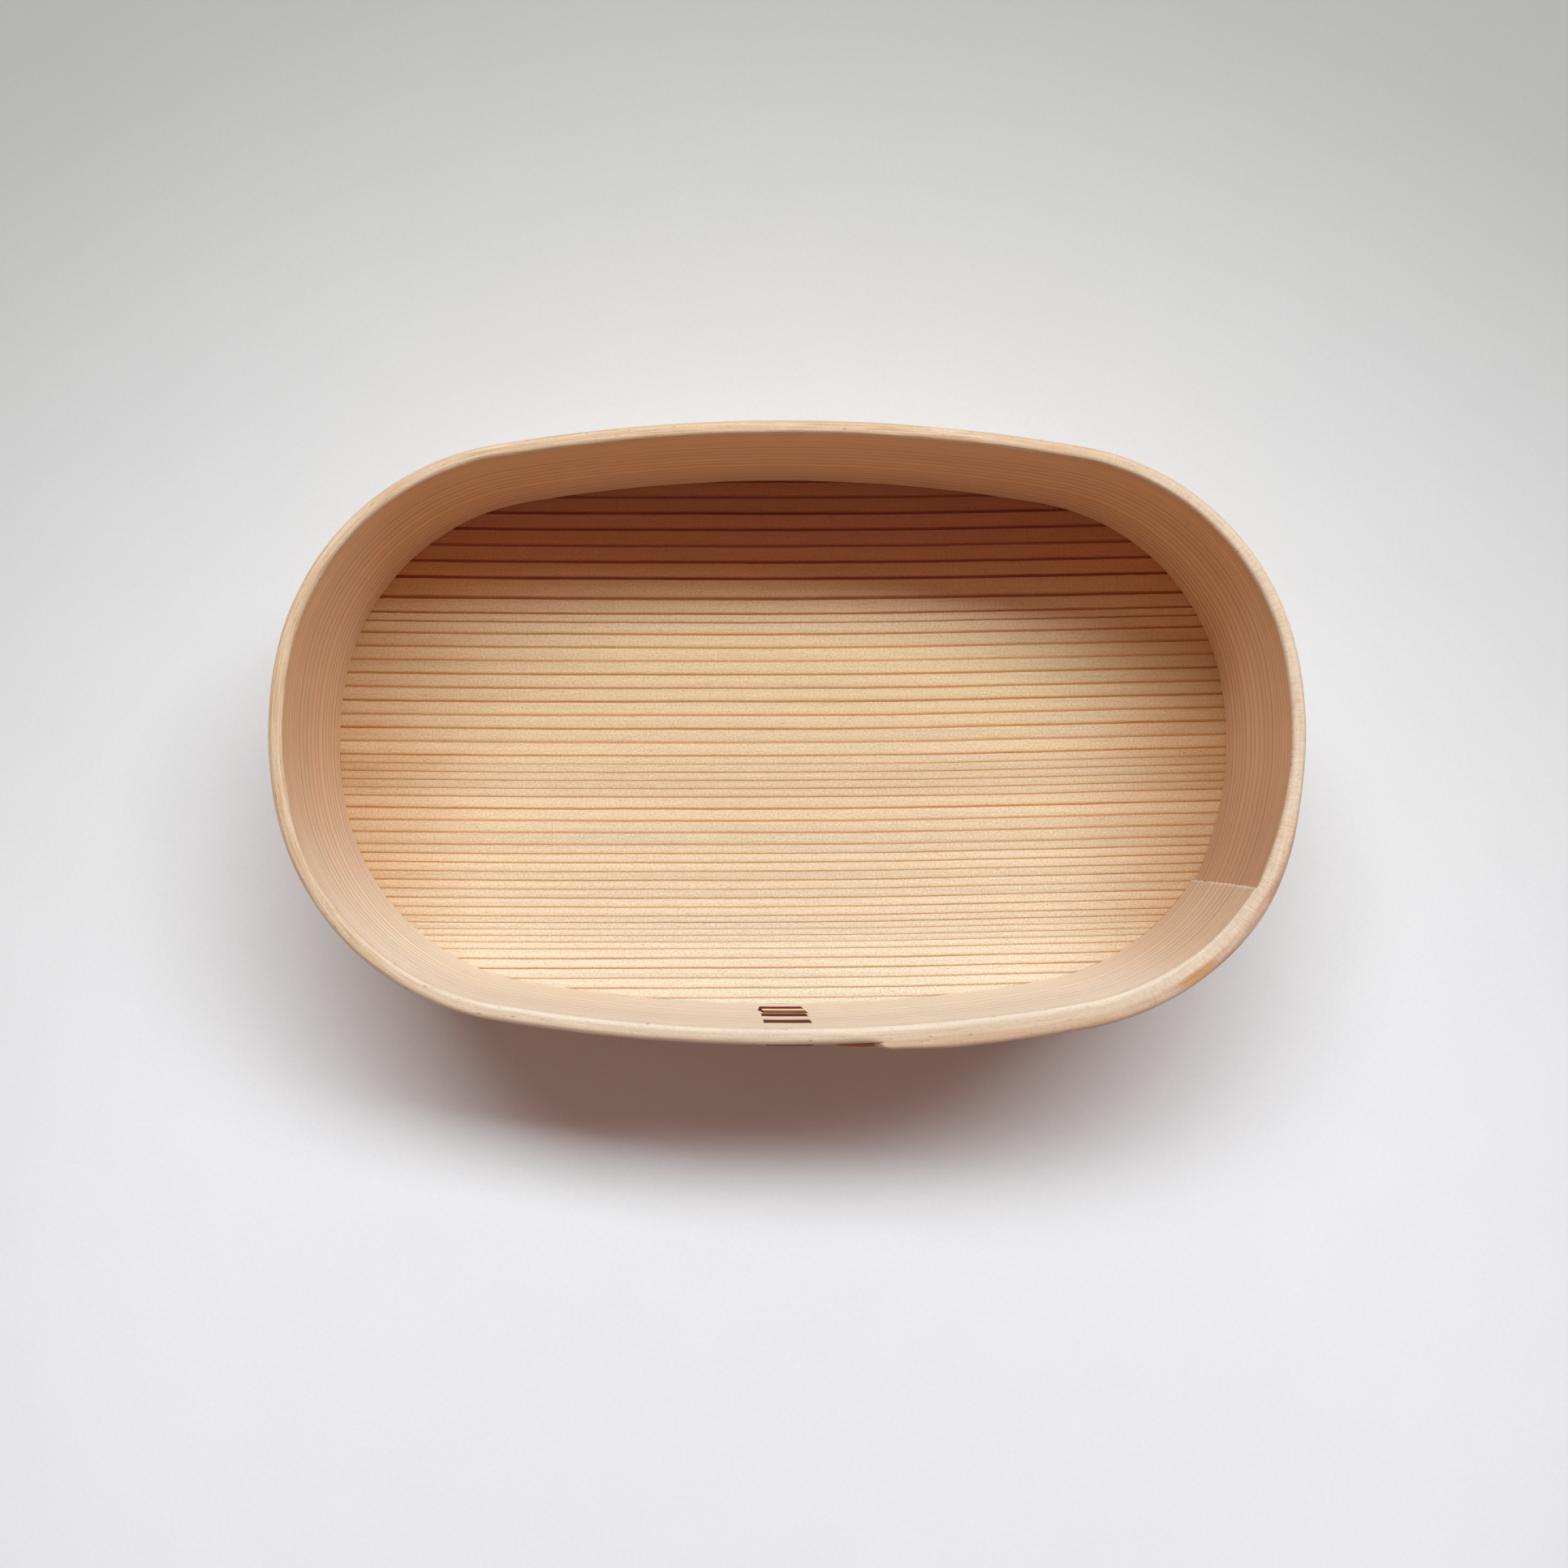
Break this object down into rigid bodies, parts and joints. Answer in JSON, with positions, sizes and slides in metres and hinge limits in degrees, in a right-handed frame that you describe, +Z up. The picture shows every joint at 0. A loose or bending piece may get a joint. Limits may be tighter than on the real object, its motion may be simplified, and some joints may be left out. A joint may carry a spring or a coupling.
{
  "type": "oval lunch box",
  "caption": "Open oval bentwood lunch box: a thin cedar band, lapped and sewn with bark at the front, round a flat bottom board.",
  "frame": {"origin": "centre of the box's footprint, on the surface that it stands on", "axes": "+X along the oval, +Z up out of the open mouth, -Y towards the sewn front of the band"},
  "size_m": [0.19, 0.1158, 0.05],
  "materials": {
    "bent_cedar": "unfinished planed cedar, satin, grain along the band",
    "board_cedar": "unfinished planed edge-grain cedar, satin",
    "cherry_bark": "polished dark reddish-brown bark, semi-gloss"
  },
  "bodies": {
    "root": {"side_band": "bent_cedar", "bottom_board": "board_cedar", "bark_lacing": "cherry_bark"}
  },
  "joints": []
}
